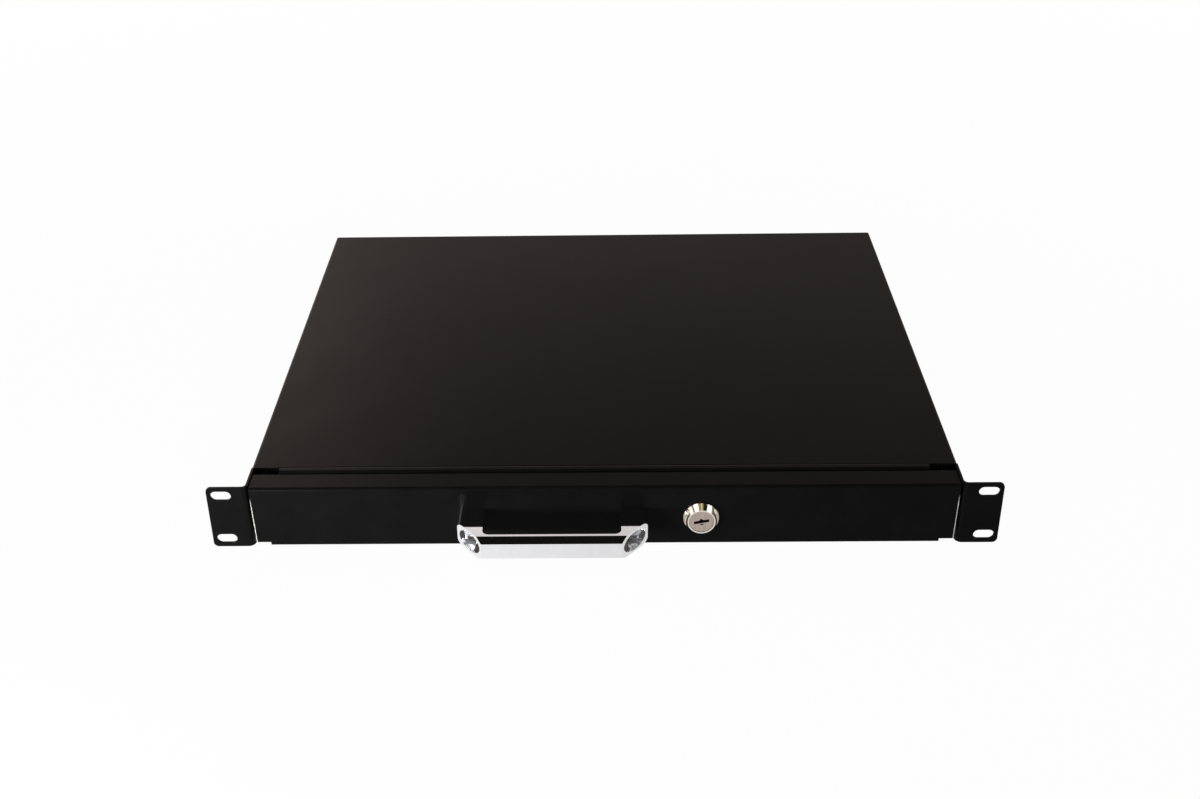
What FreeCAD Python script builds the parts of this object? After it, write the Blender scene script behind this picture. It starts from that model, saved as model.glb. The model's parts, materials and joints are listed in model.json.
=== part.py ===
"""Sliding 19 inch rack drawer, one unit high, with ball slides, a pull handle and a cam lock.

Frame: X to the right, Y to the rear, Z up, millimetres. The origin is the centre of the
rack hole pattern, on the rear face of the ears, which bears on the rack rails. The drawer
is closed and unlocked at rest. It slides towards -Y.
"""
import FreeCAD, Part
import math
import os
import re
import Sketcher

doc = FreeCAD.newDocument("RackDrawer")
sheet = doc.addObject("Spreadsheet::Sheet", "Sizes")

# alias, millimetres (or degrees, or a count), meaning
SIZES = [
    ("ear_span", 482.6, "width over the rack ears"),
    ("unit_height", 43.66, "height of the ears, one rack unit less clearance"),
    ("steel", 1.5, "case and drawer front sheet"),
    ("fold", 0.3, "inner radius of a sharp fold"),
    ("ear_reach", 23.95, "side wall to the end of its ear"),
    ("case_depth", 355.6, "front of the ears to the rear of the case"),
    ("ear_bend", 2.5, "inner radius of the bend from side wall to ear"),
    ("ear_corner", 3.0, "outer corner radius of the ears"),
    ("slot_inset", 8.75, "end of an ear to its slot centres"),
    ("slot_pitch", 31.75, "rack hole spacing up"),
    ("slot_length", 12.6, "rack slot end to end"),
    ("slot_width", 6.6, "rack slot width"),
    ("cover_setback", 16.6, "front of the ears to the cover flange"),
    ("cover_lip_reach", 5.0, "cover flange in front of the notched cover corners"),
    ("cover_lip_inset", 17.45, "side wall to the end of the cover flange"),
    ("cover_lip_drop", 2.7, "height of the cover flange"),
    ("floor_lip", 10.5, "reach of the flanges under the side walls"),
    ("floor_lip_setback", 45.0, "front of the ears to the floor flanges"),
    ("fit", 0.15, "clearance of a sheet piece inside another"),
    ("rear_tab", 10.5, "length of the side tabs of the rear panel"),
    ("rear_screw_pitch", 26.0, "vertical spacing of the rear panel screws"),
    ("front_gap", 0.5, "gap between drawer front and side wall"),
    ("front_top_gap", 1.0, "ear top to drawer front top"),
    ("front_bottom_gap", 0.1, "ear bottom to drawer front bottom"),
    ("front_lip", 15.6, "depth of the folded lips of the drawer front"),
    ("front_relief", 9.7, "width of the relieved bottom corners"),
    ("front_relief_rise", 2.9, "height of the relieved bottom corners"),
    ("front_taper", 0.9, "narrowing of each end of the drawer front towards its bottom"),
    ("tray_steel", 1.2, "tray sheet"),
    ("tray_bend", 1.5, "inner radius of the tray bends"),
    ("tray_top_gap", 4.86, "cover to the tray sides"),
    ("tray_back_drop", 5.0, "top of the tray sides to the top of its back"),
    ("tray_rear_gap", 19.3, "tray back to the rear panel"),
    ("tray_tab", 14.0, "width of the tray tabs behind the drawer front"),
    ("slide_rear_gap", 3.6, "slides to the side tabs of the rear panel"),
    ("slide_setback", 40.0, "front of the ears to the slides"),
    ("slide_thick", 12.7, "side space of a slide"),
    ("slide_height", 35.0, "height of the outer slide member"),
    ("web_outer", 1.2, "outer and inner member sheet"),
    ("web_middle", 1.0, "middle member web"),
    ("web_gap", 1.0, "outer web to middle web"),
    ("ball_radius", 1.6, "slide ball"),
    ("race_play", 0.15, "radial play of a ball in its race groove"),
    ("race_flat", 0.8, "ball centre to the flats beside a race"),
    ("race_wall", 1.15, "outer member above its race"),
    ("race_neck", 0.95, "middle member between its two races"),
    ("race_reach", 8.6, "reach of the race flanges from the side wall"),
    ("inner_wall", 1.2, "inner member below its race"),
    ("ball_depth", 6.2, "side wall to the ball centres"),
    ("cage_steel", 0.4, "ball cage sheet"),
    ("cage_reach", 8.4, "side wall to the edges of a cage"),
    ("cage_play", 0.05, "radial play of a ball in its cage"),
    ("cage_end", 8.0, "last ball to the end of its cage"),
    ("ball_count", 3, "balls in a row"),
    ("ball_pitch", 48.0, "ball spacing"),
    ("bumper_length", 9.5, "rear bumper"),
    ("bumper_gap", 0.5, "rear bumper to the inner members"),
    ("screw_first", 25.0, "ends of the sliding members to their end screws"),
    ("screw_count", 3, "slide screws on a side"),
    ("screw_radius", 2.0, "slide screw shank"),
    ("screw_head", 3.4, "slide screw head radius"),
    ("hole_play", 0.1, "radial play of a screw hole"),
    ("nut_flats", 7.0, "small nut across flats"),
    ("nut_height", 2.2, "small nut height"),
    ("handle_x", -30.7, "centre of the handle"),
    ("handle_z", -1.9, "centre of the handle"),
    ("handle_length", 114.8, "length over the legs"),
    ("handle_reach", 31.7, "projection of the handle"),
    ("handle_height", 15.4, "height of the handle"),
    ("handle_leg", 16.0, "width of a leg"),
    ("handle_bar", 5.2, "thickness of the grip bar"),
    ("handle_facet", 3.4, "bevel along the upper front edge of the bar"),
    ("handle_under", 2.0, "bevel along the lower front edge of the bar"),
    ("handle_bevel_x", 15.6, "corner bevel along the bar"),
    ("handle_bevel_y", 18.0, "corner bevel along the leg"),
    ("handle_round", 4.0, "outer edges of the legs"),
    ("handle_inside", 4.0, "inner corner radius of the handle"),
    ("handle_seat", 11.0, "screw head seat to the drawer front"),
    ("handle_bore", 6.5, "radius of the screw recess"),
    ("handle_screw_head", 4.4, "handle screw head radius"),
    ("lock_x", 59.6, "lock axis"),
    ("lock_z", -1.7, "lock axis"),
    ("lock_flare", 21.6, "bezel diameter at the drawer front"),
    ("lock_face", 17.0, "bezel diameter at its face"),
    ("lock_proud", 5.1, "bezel face in front of the drawer front"),
    ("lock_barrel", 18.4, "lock barrel diameter"),
    ("lock_flats", 16.0, "lock barrel across its flats"),
    ("lock_nut_flats", 22.0, "lock nut across flats"),
    ("lock_nut_height", 3.0, "lock nut"),
    ("plug_head", 15.0, "plug diameter at the face"),
    ("plug_sink", 0.25, "plug face behind the bezel face"),
    ("plug_head_depth", 2.2, "plug head"),
    ("plug_stem", 11.6, "plug diameter behind its head"),
    ("plug_play", 0.08, "radial play of the plug"),
    ("key_slot_length", 9.3, "key slot"),
    ("key_slot_width", 2.0, "key slot"),
    ("key_slot_rib", 1.4, "height of the bump above the key slot"),
    ("key_slot_tilt", 11.0, "key slot, degrees from level"),
    ("key_slot_depth", 5.0, "key slot"),
    ("plug_end", 0.3, "lock barrel to the cam"),
    ("cam_length", 20.5, "lock axis to the cam tip"),
    ("cam_width", 11.0, "cam width"),
    ("cam_steel", 2.0, "cam thickness"),
    ("cam_square", 7.0, "square end of the plug"),
    ("cam_screw_radius", 1.6, "cam screw shank"),
    ("cam_screw_head", 3.0, "cam screw head radius"),
    ("cam_screw_length", 8.0, "cam screw under its head"),
    ("washer_radius", 4.6, "cam washer"),
    ("washer_steel", 0.8, "cam washer"),
    ("keeper_width", 24.0, "lock keeper"),
    ("keeper_drop", 6.0, "keeper tab below the cover"),
    ("keeper_gap", 0.7, "keeper tab to the cam, and to the cover flange"),
    ("keeper_foot", 14.0, "keeper foot along the cover"),
]
for row, (alias, value, meaning) in enumerate(SIZES, 1):
    sheet.set(f"A{row}", meaning)
    sheet.set(f"B{row}", str(value))
    sheet.setAlias(f"B{row}", alias)
doc.recompute()

# places and sizes worked out from the sheet
DERIVED = {
    "top": "unit_height / 2",
    "bottom": "0 - unit_height / 2",
    "front": "0 - steel",
    "rear": "case_depth - steel",
    "fold_out": "fold + steel",
    "case_width": "ear_span - 2 * ear_reach",
    "slot_spacing": "ear_span - 2 * slot_inset",
    "wall_out": "case_width / 2",
    "wall_in": "case_width / 2 - steel",
    "cover_front": "cover_setback - steel",
    "cover_edge": "cover_front + cover_lip_reach",
    "cover_lip_width": "case_width - 2 * cover_lip_inset",
    "rear_height": "unit_height - steel - fit",
    "rear_half": "wall_in - fit",
    "rear_start": "rear - steel - rear_tab",
    "rear_screw_y": "rear - steel - rear_tab / 2",
    "floor_start": "floor_lip_setback - steel",
    "floor_end": "rear_start - steel",
    "slide_start": "slide_setback - steel",
    "slide_end": "rear_start - slide_rear_gap",
    "slide_length": "slide_end - slide_start",
    "member_length": "slide_length - bumper_length - bumper_gap",
    "screw_pitch": "(member_length - 2 * screw_first) / (screw_count - 1)",
    "cage_length": "(ball_count - 1) * ball_pitch + 2 * cage_end",
    "cage_start": "slide_start + (member_length - cage_length) / 2",
    "race_radius": "ball_radius + race_play",
    "ball_high": "slide_height / 2 - race_wall - race_radius",
    "ball_low": "ball_high - 2 * race_radius - race_neck",
    "race_half": "sqrt(race_radius ^ 2 - race_flat ^ 2)",
    "web_two": "web_outer + web_gap",
    "cage_out": "web_outer + (web_gap - cage_steel) / 2",
    "cage_in": "web_two + web_middle + (web_gap - cage_steel) / 2",
    "inner_tip": "web_two + web_middle + web_gap",
    "ball_x": "wall_in - ball_depth",
    "tray_half": "wall_in - slide_thick",
    "front_half": "wall_in - front_gap",
    "front_top": "top - front_top_gap",
    "front_bottom": "bottom + front_bottom_gap",
    "relief_top": "front_bottom + front_relief_rise",
    "front_lip_end": "front + front_lip",
    "tray_floor": "front_bottom + steel",
    "tray_top": "top - steel - tray_top_gap",
    "tab_bottom": "(3 * tray_floor + tray_top) / 4",
    "tray_front": "front + steel + fold",
    "tray_rear": "rear - steel - tray_rear_gap",
    "leg_x": "handle_length / 2 - handle_leg / 2",
    "leg_in": "handle_length / 2 - handle_leg",
    "handle_front": "front - handle_reach",
    "handle_back": "handle_front + handle_bar",
    "seat_y": "front - handle_seat",
    "face_y": "front - lock_proud",
    "plug_face": "face_y + plug_sink",
    "plug_step": "plug_face + plug_head_depth",
    "keeper_front": "cover_edge + keeper_gap / 2",
    "keeper_back": "keeper_front + steel",
    "cam_start": "keeper_back + keeper_gap",
    "cam_end": "cam_start + cam_steel",
    "barrel_end": "cam_start - plug_end",
}
WORD = re.compile(r"[A-Za-z_]\w*")
NAMES = {alias for alias, value, meaning in SIZES}


def ex(text):
    """A size expression with its derived names worked out and its aliases bound to the sheet."""
    def swap(match):
        word = match.group(0)
        if word in DERIVED:
            return "(" + ex(DERIVED[word]) + ")"
        return "Sizes." + word if word in NAMES else word
    return WORD.sub(swap, str(text))


def num(text):
    """The present value of a size expression."""
    value = sheet.evalExpression(ex(text))
    return float(getattr(value, "Value", value))


def bind(thing, **sizes):
    """Bind properties of a document object; a double underscore stands for a dot."""
    for name, text in sizes.items():
        thing.setExpression(name.replace("__", "."), ex(text))
    return thing


def place(thing, x="0", y="0", z="0"):
    return bind(thing, Placement__Base__x=x, Placement__Base__y=y, Placement__Base__z=z)


def new_body(name):
    body = doc.addObject("PartDesign::Body", name)
    body.Label = name
    return body


def new_sketch(body, plane, offset="0"):
    """A sketch on an origin plane of its body, moved along the plane's normal."""
    sketch = body.newObject("Sketcher::SketchObject", f"{body.Name}_sketch")
    origin = next(item for item in body.Origin.OriginFeatures if item.Role == plane)
    sketch.AttachmentSupport = [(origin, "")]
    sketch.MapMode = "FlatFace"
    return bind(sketch, AttachmentOffset__Base__z=offset)


def arc_between(start, end, radius, turn):
    """The arc from start to end; turn is 1 anticlockwise, -1 clockwise."""
    chord = end - start
    rise = math.sqrt(max(radius ** 2 - (chord.Length / 2) ** 2, 0.0))
    normal = FreeCAD.Vector(-chord.y, chord.x, 0).normalize()
    centre = (start + end) * 0.5 + normal * rise * turn
    first, last = (start, end) if turn > 0 else (end, start)
    angles = [math.atan2(p.y - centre.y, p.x - centre.x) for p in (first, last)]
    if angles[1] <= angles[0]:
        angles[1] += 2 * math.pi
    circle = Part.Circle(centre, FreeCAD.Vector(0, 0, 1), radius)
    return Part.ArcOfCircle(circle, *angles)


def outline(sketch, points):
    """A closed outline. Each point is (x, y), or (x, y, radius, turn) at the end of an arc."""
    spots = [FreeCAD.Vector(num(p[0]), num(p[1]), 0) for p in points]
    ends = []
    for i, point in enumerate(points):
        start, end = spots[i - 1], spots[i]
        if len(point) == 2:
            index = sketch.addGeometry(Part.LineSegment(start, end), False)
            ends.append((index, 1, 2))
            continue
        arc = arc_between(start, end, num(point[2]), point[3])
        index = sketch.addGeometry(arc, False)
        ends.append((index, 1, 2) if point[3] > 0 else (index, 2, 1))
        radius = sketch.addConstraint(Sketcher.Constraint("Radius", index, num(point[2])))
        sketch.setExpression(f"Constraints[{radius}]", ex(point[2]))
    for i, (index, first, last) in enumerate(ends):
        follower = ends[(i + 1) % len(ends)]
        sketch.addConstraint(Sketcher.Constraint("Coincident", index, last, follower[0], follower[1]))
        for kind, text, value in (("DistanceX", points[i][0], spots[i].x),
                                  ("DistanceY", points[i][1], spots[i].y)):
            count = sketch.addConstraint(Sketcher.Constraint(kind, -1, 1, index, last, value))
            sketch.setExpression(f"Constraints[{count}]", ex(text))
    return sketch


def circle(sketch, x, y, radius):
    middle = FreeCAD.Vector(num(x), num(y), 0)
    index = sketch.addGeometry(Part.Circle(middle, FreeCAD.Vector(0, 0, 1), num(radius)), False)
    for kind, text in (("DistanceX", x), ("DistanceY", y)):
        count = sketch.addConstraint(Sketcher.Constraint(kind, -1, 1, index, 3, num(text)))
        sketch.setExpression(f"Constraints[{count}]", ex(text))
    count = sketch.addConstraint(Sketcher.Constraint("Radius", index, num(radius)))
    sketch.setExpression(f"Constraints[{count}]", ex(radius))
    return sketch


def box_outline(x0, y0, x1, y1):
    return [(x0, y0), (x1, y0), (x1, y1), (x0, y1)]


def stadium(sketch, x, y, length, width):
    """A slot outline with round ends, lying along the sketch's first axis."""
    middle, half, radius = num(x), (num(length) - num(width)) / 2, num(width) / 2
    ends = []
    for sign, first in ((1, -math.pi / 2), (-1, math.pi / 2)):
        centre = FreeCAD.Vector(middle + sign * half, num(y), 0)
        round_end = Part.Circle(centre, FreeCAD.Vector(0, 0, 1), radius)
        ends.append(sketch.addGeometry(Part.ArcOfCircle(round_end, first, first + math.pi), False))
        place_text = f"{x} + ({sign}) * ({length} - {width}) / 2"
        for kind, text in (("DistanceX", place_text), ("DistanceY", y)):
            count = sketch.addConstraint(Sketcher.Constraint(kind, -1, 1, ends[-1], 3, num(text)))
            sketch.setExpression(f"Constraints[{count}]", ex(text))
        count = sketch.addConstraint(Sketcher.Constraint("Radius", ends[-1], radius))
        sketch.setExpression(f"Constraints[{count}]", ex(f"{width} / 2"))
    right, left = ends
    for start, finish, height in ((right, left, radius), (left, right, -radius)):
        a = FreeCAD.Vector(middle + (half if start == right else -half), num(y) + height, 0)
        b = FreeCAD.Vector(middle + (half if finish == right else -half), num(y) + height, 0)
        line = sketch.addGeometry(Part.LineSegment(a, b), False)
        sketch.addConstraint(Sketcher.Constraint("Tangent", start, 2, line, 1))
        sketch.addConstraint(Sketcher.Constraint("Tangent", line, 2, finish, 1))
    return sketch


def flip(text):
    return f"0 - ({text})"


def mirrored(points):
    """The same outline mirrored in the sketch's upright axis."""
    return [(flip(p[0]), p[1], *p[2:3], *(-turn for turn in p[3:])) for p in points]


def both_halves(points):
    """An outline from its upper half, which is mirrored in the sketch's level axis."""
    lower = []
    for i in range(len(points) - 1, -1, -1):
        after = points[i + 1] if i + 1 < len(points) else ()
        lower.append((points[i][0], flip(points[i][1]), *after[2:]))
    return points + lower


def folded(path, thick, bend, side):
    """Outline of a folded sheet from the line of one of its faces, whose legs follow the axes.

    side is 1 where the sheet lies to the left of the line, and -1 to the right.
    """
    spots = [(num(x), num(y)) for x, y in path]
    heads = []
    for (x0, y0), (x1, y1) in zip(spots, spots[1:]):
        size = math.hypot(x1 - x0, y1 - y0)
        heads.append((round((x1 - x0) / size), round((y1 - y0) / size)))
    face, back = [], []
    for i, (x, y) in enumerate(path):
        before, after = heads[max(i - 1, 0)], heads[min(i, len(heads) - 1)]
        lefts = {(-before[1], before[0]), (-after[1], after[0])}
        shift_x = side * sum(left[0] for left in lefts)
        shift_y = side * sum(left[1] for left in lefts)
        far = (f"{x} + ({shift_x}) * ({thick})", f"{y} + ({shift_y}) * ({thick})")
        turn = before[0] * after[1] - before[1] * after[0]
        if turn == 0:
            face.append((x, y))
            back.insert(0, far)
            continue
        wide, tight = f"({bend} + {thick})", f"({bend})"
        near_radius, far_radius = (wide, tight) if turn == side else (tight, wide)
        for (px, py), radius, line in (((x, y), near_radius, face), (far, far_radius, back)):
            entry = (f"{px} - ({before[0]}) * {radius}", f"{py} - ({before[1]}) * {radius}")
            leave = (f"{px} + ({after[0]}) * {radius}", f"{py} + ({after[1]}) * {radius}")
            if line is face:
                face += [entry, (*leave, radius, turn)]
            else:
                back[0:0] = [leave, (*entry, radius, -turn)]
    return face + back


def pad(body, sketch, length, reverse=False, middle=False):
    feature = body.newObject("PartDesign::Pad", f"{body.Name}_pad")
    feature.Profile = sketch
    feature.Reversed = reverse
    feature.Midplane = middle
    return bind(feature, Length=length)


def pocket(body, sketch, length, reverse=False, middle=False):
    feature = body.newObject("PartDesign::Pocket", f"{body.Name}_pocket")
    feature.Profile = sketch
    feature.Reversed = reverse
    feature.Midplane = middle
    return bind(feature, Length=length)


def turned(body, points):
    """Revolve an outline of radius and depth about the body's Y axis."""
    sketch = outline(new_sketch(body, "XY_Plane"), points)
    feature = body.newObject("PartDesign::Revolution", f"{body.Name}_turned")
    feature.Profile = sketch
    feature.ReferenceAxis = (sketch, ["V_Axis"])
    feature.Angle = 360
    return feature


def xz_sketch(body, depth):
    """A sketch in X and Z at a depth; its pockets cut towards the rear."""
    return new_sketch(body, "XZ_Plane", flip(depth))


def pad_xz(body, points, depth, length):
    """Pad an outline drawn in X and Z from a depth towards the rear."""
    return pad(body, outline(xz_sketch(body, depth), points), length, True)


def dress(body, kind, size, test):
    """Fillet or chamfer the edges of the body's last feature that pass the test."""
    doc.recompute()
    base = body.Tip
    names = [f"Edge{i}" for i, edge in enumerate(base.Shape.Edges, 1) if test(edge)]
    feature = body.newObject(f"PartDesign::{kind}", f"{body.Name}_{kind.lower()}")
    feature.Base = (base, names)
    return bind(feature, **{"Radius" if kind == "Fillet" else "Size": size})


def along(edge, axis):
    """Whether a straight edge runs along an axis."""
    if edge.Curve.TypeId != "Part::GeomLine":
        return False
    return abs(abs(edge.Curve.Direction.dot(axis)) - 1) < 1e-6


def primitive(kind, name, turn=None, **sizes):
    """A Part primitive, turned as a rotation says and then placed by its bound sizes."""
    thing = doc.addObject(f"Part::{kind}", name)
    if turn is not None:
        thing.Placement = FreeCAD.Placement(FreeCAD.Vector(), turn)
    return bind(thing, **sizes)


def group(name, pieces):
    """One sub-part made of separate solids."""
    compound = doc.addObject("Part::Compound", name)
    compound.Label = name
    compound.Links = pieces
    return compound


X = FreeCAD.Vector(1, 0, 0)
Y = FreeCAD.Vector(0, 1, 0)
Z = FreeCAD.Vector(0, 0, 1)
TO_REAR = FreeCAD.Rotation(Z, Y)
SIDES = (("left", -1), ("right", 1))


def screw(name, turn, head, head_tip, head_height, shank, length, x, y, z):
    """A screw with its head's seat at a point; turn takes +Z to the way its shank points.

    head_tip is the head's radius at its seat, less than head on a countersunk screw.
    """
    lift = turn.multVec(Z)
    signs = [round(lift.x), round(lift.y), round(lift.z)]
    spot = {f"Placement__Base__{axis}": f"{value} - ({sign}) * ({head_height})"
            for axis, value, sign in zip("xyz", (x, y, z), signs)}
    cap = primitive("Cone", f"{name}_head", turn, Radius1=head, Radius2=head_tip,
                    Height=head_height, **spot)
    stem = primitive("Cylinder", f"{name}_shank", turn, Radius=shank, Height=length,
                     Placement__Base__x=x, Placement__Base__y=y, Placement__Base__z=z)
    whole = doc.addObject("Part::Fuse", name)
    whole.Base = cap
    whole.Tool = stem
    return whole


def nut(name, turn, flats, height, hole, x, y, z):
    """A hexagon nut that starts at a point; turn takes +Z to the way it rises."""
    spot = {"Placement__Base__x": x, "Placement__Base__y": y, "Placement__Base__z": z}
    block = primitive("Prism", f"{name}_block", turn, Circumradius=f"{flats} / sqrt(3)",
                      Height=height, **spot)
    bore = primitive("Cylinder", f"{name}_bore", turn, Radius=hole, Height=height, **spot)
    whole = doc.addObject("Part::Cut", name)
    whole.Base = block
    whole.Tool = bore
    return whole


def side_turn(sign):
    """The rotation that takes +Z outwards on one side."""
    return FreeCAD.Rotation(Z, X * sign)


# ---- case -----------------------------------------------------------------------------------

def screw_depths():
    """Depths of the slide screws."""
    return [f"slide_start + screw_first + {i} * screw_pitch" for i in range(int(num("screw_count")))]


def rear_screw_heights():
    return ["rear_screw_pitch / 2", "0 - rear_screw_pitch / 2"]


def make_case_shell():
    """Cover, side walls and rack ears, folded from one sheet."""
    body = new_body("case_shell")
    cover = [("0 - wall_out", "bottom"), ("0 - wall_out", "top"), ("wall_out", "top"),
             ("wall_out", "bottom")]
    pad_xz(body, folded(cover, "steel", "fold", -1), "cover_edge", "rear - cover_edge")
    ear = folded([("ear_span / 2", "front"), ("wall_in", "front"), ("wall_in", "cover_edge")],
                 "steel", "ear_bend", -1)
    for points in (ear, mirrored(ear)):
        pad(body, outline(new_sketch(body, "XY_Plane", "bottom"), points), "unit_height")
    lip = folded([("cover_edge + steel", "top"), ("cover_front", "top"),
                  ("cover_front", "top - cover_lip_drop")], "steel", "fold", 1)
    pad(body, outline(new_sketch(body, "YZ_Plane"), lip), "cover_lip_width", middle=True)
    for sign in (1, -1):
        shelf = box_outline(f"({sign}) * (wall_out - steel / 2)", "bottom",
                            f"({sign}) * (wall_in - floor_lip)", "bottom + steel")
        pad_xz(body, shelf, "floor_start", "floor_end - floor_start")
    slots = xz_sketch(body, "front")
    for across in ("slot_spacing / 2", "0 - slot_spacing / 2"):
        for up in ("slot_pitch / 2", "0 - slot_pitch / 2"):
            stadium(slots, across, up, "slot_length", "slot_width")
    pocket(body, slots, "2 * steel")
    holes = new_sketch(body, "YZ_Plane")
    for depth in screw_depths():
        circle(holes, depth, "0", "screw_radius + hole_play")
    for height in rear_screw_heights():
        circle(holes, "rear_screw_y", height, "screw_radius + hole_play")
    pocket(body, holes, "case_width + 2 * steel", middle=True)
    corner = num("ear_span / 2")
    dress(body, "Fillet", "ear_corner",
          lambda edge: along(edge, Y) and abs(abs(edge.CenterOfMass.x) - corner) < 0.01)
    return body


def make_rear_panel():
    """Back of the case, with tabs that lie inside the side walls."""
    body = new_body("rear_panel")
    plan = folded([("0 - rear_half", "rear_start"), ("0 - rear_half", "rear"),
                   ("rear_half", "rear"), ("rear_half", "rear_start")], "steel", "fold", -1)
    pad(body, outline(new_sketch(body, "XY_Plane", "bottom"), plan), "rear_height")
    holes = new_sketch(body, "YZ_Plane")
    for height in rear_screw_heights():
        circle(holes, "rear_screw_y", height, "screw_radius")
    pocket(body, holes, "case_width", middle=True)
    return body


def make_rear_screws():
    """Screws through the side walls into the tabs of the rear panel."""
    screws = []
    for side, sign in SIDES:
        for i, height in enumerate(rear_screw_heights()):
            screws.append(screw(f"rear_{side}_screw_{i}", side_turn(-sign), "screw_head",
                                "screw_head", "nut_height", "screw_radius", "3 * steel",
                                f"({sign}) * wall_out", "rear_screw_y", height))
    return group("rear_screws", screws)


def make_lock_keeper():
    """Angle under the cover that the cam turns up behind."""
    body = new_body("lock_keeper")
    angle = folded([("keeper_front", "top - steel - keeper_drop"), ("keeper_front", "top - steel"),
                    ("keeper_front + keeper_foot", "top - steel")], "steel", "fold", -1)
    pad(body, outline(new_sketch(body, "YZ_Plane"), angle), "keeper_width", middle=True)
    return place(body, x="lock_x")


# ---- slides ---------------------------------------------------------------------------------

def from_wall(points):
    """Points whose first value is a distance inwards from the right side wall."""
    return [(f"wall_in - ({p[0]})", *p[1:]) for p in points]


def on_side(points, sign):
    return points if sign > 0 else mirrored(points)


def make_outer_member(side, sign):
    """C section fixed to the side wall; its flanges hold the outer balls from outside."""
    body = new_body(f"{side}_outer_member")
    high, flat = "slide_height / 2", "ball_high + race_flat"
    upper = from_wall([("0", f"{high} - web_outer"), ("web_outer", high, "web_outer", 1),
                       ("race_reach", high), ("race_reach", flat),
                       ("ball_depth + race_half", flat),
                       ("ball_depth - race_half", flat, "race_radius", -1), ("web_outer", flat)])
    pad_xz(body, on_side(both_halves(upper), sign), "slide_start", "slide_length")
    for i, depth in enumerate(screw_depths()):
        seat = body.newObject("PartDesign::SubtractiveCone", f"{body.Name}_seat_{i}")
        seat.Placement = FreeCAD.Placement(FreeCAD.Vector(), side_turn(-sign))
        bind(seat, Radius1="screw_radius + hole_play", Radius2="screw_head + hole_play",
             Height="web_outer")
        place(seat, f"({sign}) * wall_in", depth)
    return body


def make_middle_member(side, sign):
    """C section that runs on both rows of balls."""
    body = new_body(f"{side}_middle_member")
    high, low = "ball_high - race_flat", "ball_low + race_flat"
    upper = from_wall([("web_two", f"{high} - web_middle"),
                       ("web_two + web_middle", high, "web_middle", 1),
                       ("ball_depth - race_half", high),
                       ("ball_depth + race_half", high, "race_radius", -1),
                       ("race_reach", high), ("race_reach", low),
                       ("ball_depth + race_half", low),
                       ("ball_depth - race_half", low, "race_radius", -1),
                       ("web_two + web_middle", low)])
    pad_xz(body, on_side(both_halves(upper), sign), "slide_start", "member_length")
    return body


def make_inner_member(side, sign):
    """C section fixed to the tray; its flanges run between the inner balls."""
    body = new_body(f"{side}_inner_member")
    high, low = "ball_low - race_flat", "ball_low - race_radius - inner_wall"
    upper = from_wall([("slide_thick", f"{high} - web_outer"),
                       ("slide_thick - web_outer", high, "web_outer", -1),
                       ("ball_depth + race_half", high),
                       ("ball_depth - race_half", high, "race_radius", 1),
                       ("inner_tip", high), ("inner_tip", low), ("slide_thick - web_outer", low)])
    pad_xz(body, on_side(both_halves(upper), sign), "slide_start", "member_length")
    holes = new_sketch(body, "YZ_Plane", f"({sign}) * (tray_half - steel)")
    for depth in screw_depths():
        circle(holes, depth, "0", "screw_radius")
    pocket(body, holes, "2 * steel + web_outer", reverse=sign > 0)
    return body


def make_cage(name, sign, web, height):
    """Sheet that keeps two rows of balls apart, between two members."""
    body = new_body(name)
    line = [("cage_reach", f"{height} + cage_steel / 2"), (web, f"{height} + cage_steel / 2"),
            (web, f"0 - {height} - cage_steel / 2"), ("cage_reach", f"0 - {height} - cage_steel / 2")]
    section = folded(from_wall(line), "cage_steel", "cage_steel / 2", -1)
    pad_xz(body, on_side(section, sign), "cage_start", "cage_length")
    holes = new_sketch(body, "XY_Plane")
    for depth in ball_depths():
        circle(holes, f"({sign}) * ball_x", depth, "ball_radius + cage_play")
    pocket(body, holes, "slide_height", middle=True)
    return body


def ball_depths():
    count = int(num("ball_count"))
    middle = "cage_start + cage_length / 2"
    return [f"{middle} + ({i - (count - 1) / 2}) * ball_pitch" for i in range(count)]


def make_balls(name, sign, height):
    balls = []
    for row in (1, -1):
        for i, depth in enumerate(ball_depths()):
            ball = primitive("Sphere", f"{name}_{'upper' if row > 0 else 'lower'}_{i}",
                             Radius="ball_radius")
            balls.append(place(ball, f"({sign}) * ball_x", depth, f"({row}) * ({height})"))
    return group(name, balls)


def make_bumper(side, sign):
    """Stop at the rear of the outer member that the other members close against."""
    body = new_body(f"{side}_bumper")
    reach, high, corner = "race_reach", "ball_high - race_flat", "2 * steel"
    upper = from_wall([("web_outer", high), (f"{reach} - {corner}", high),
                       (reach, f"{high} - {corner}")])
    pad_xz(body, on_side(both_halves(upper), sign), "slide_end - bumper_length", "bumper_length")
    return body


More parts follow.
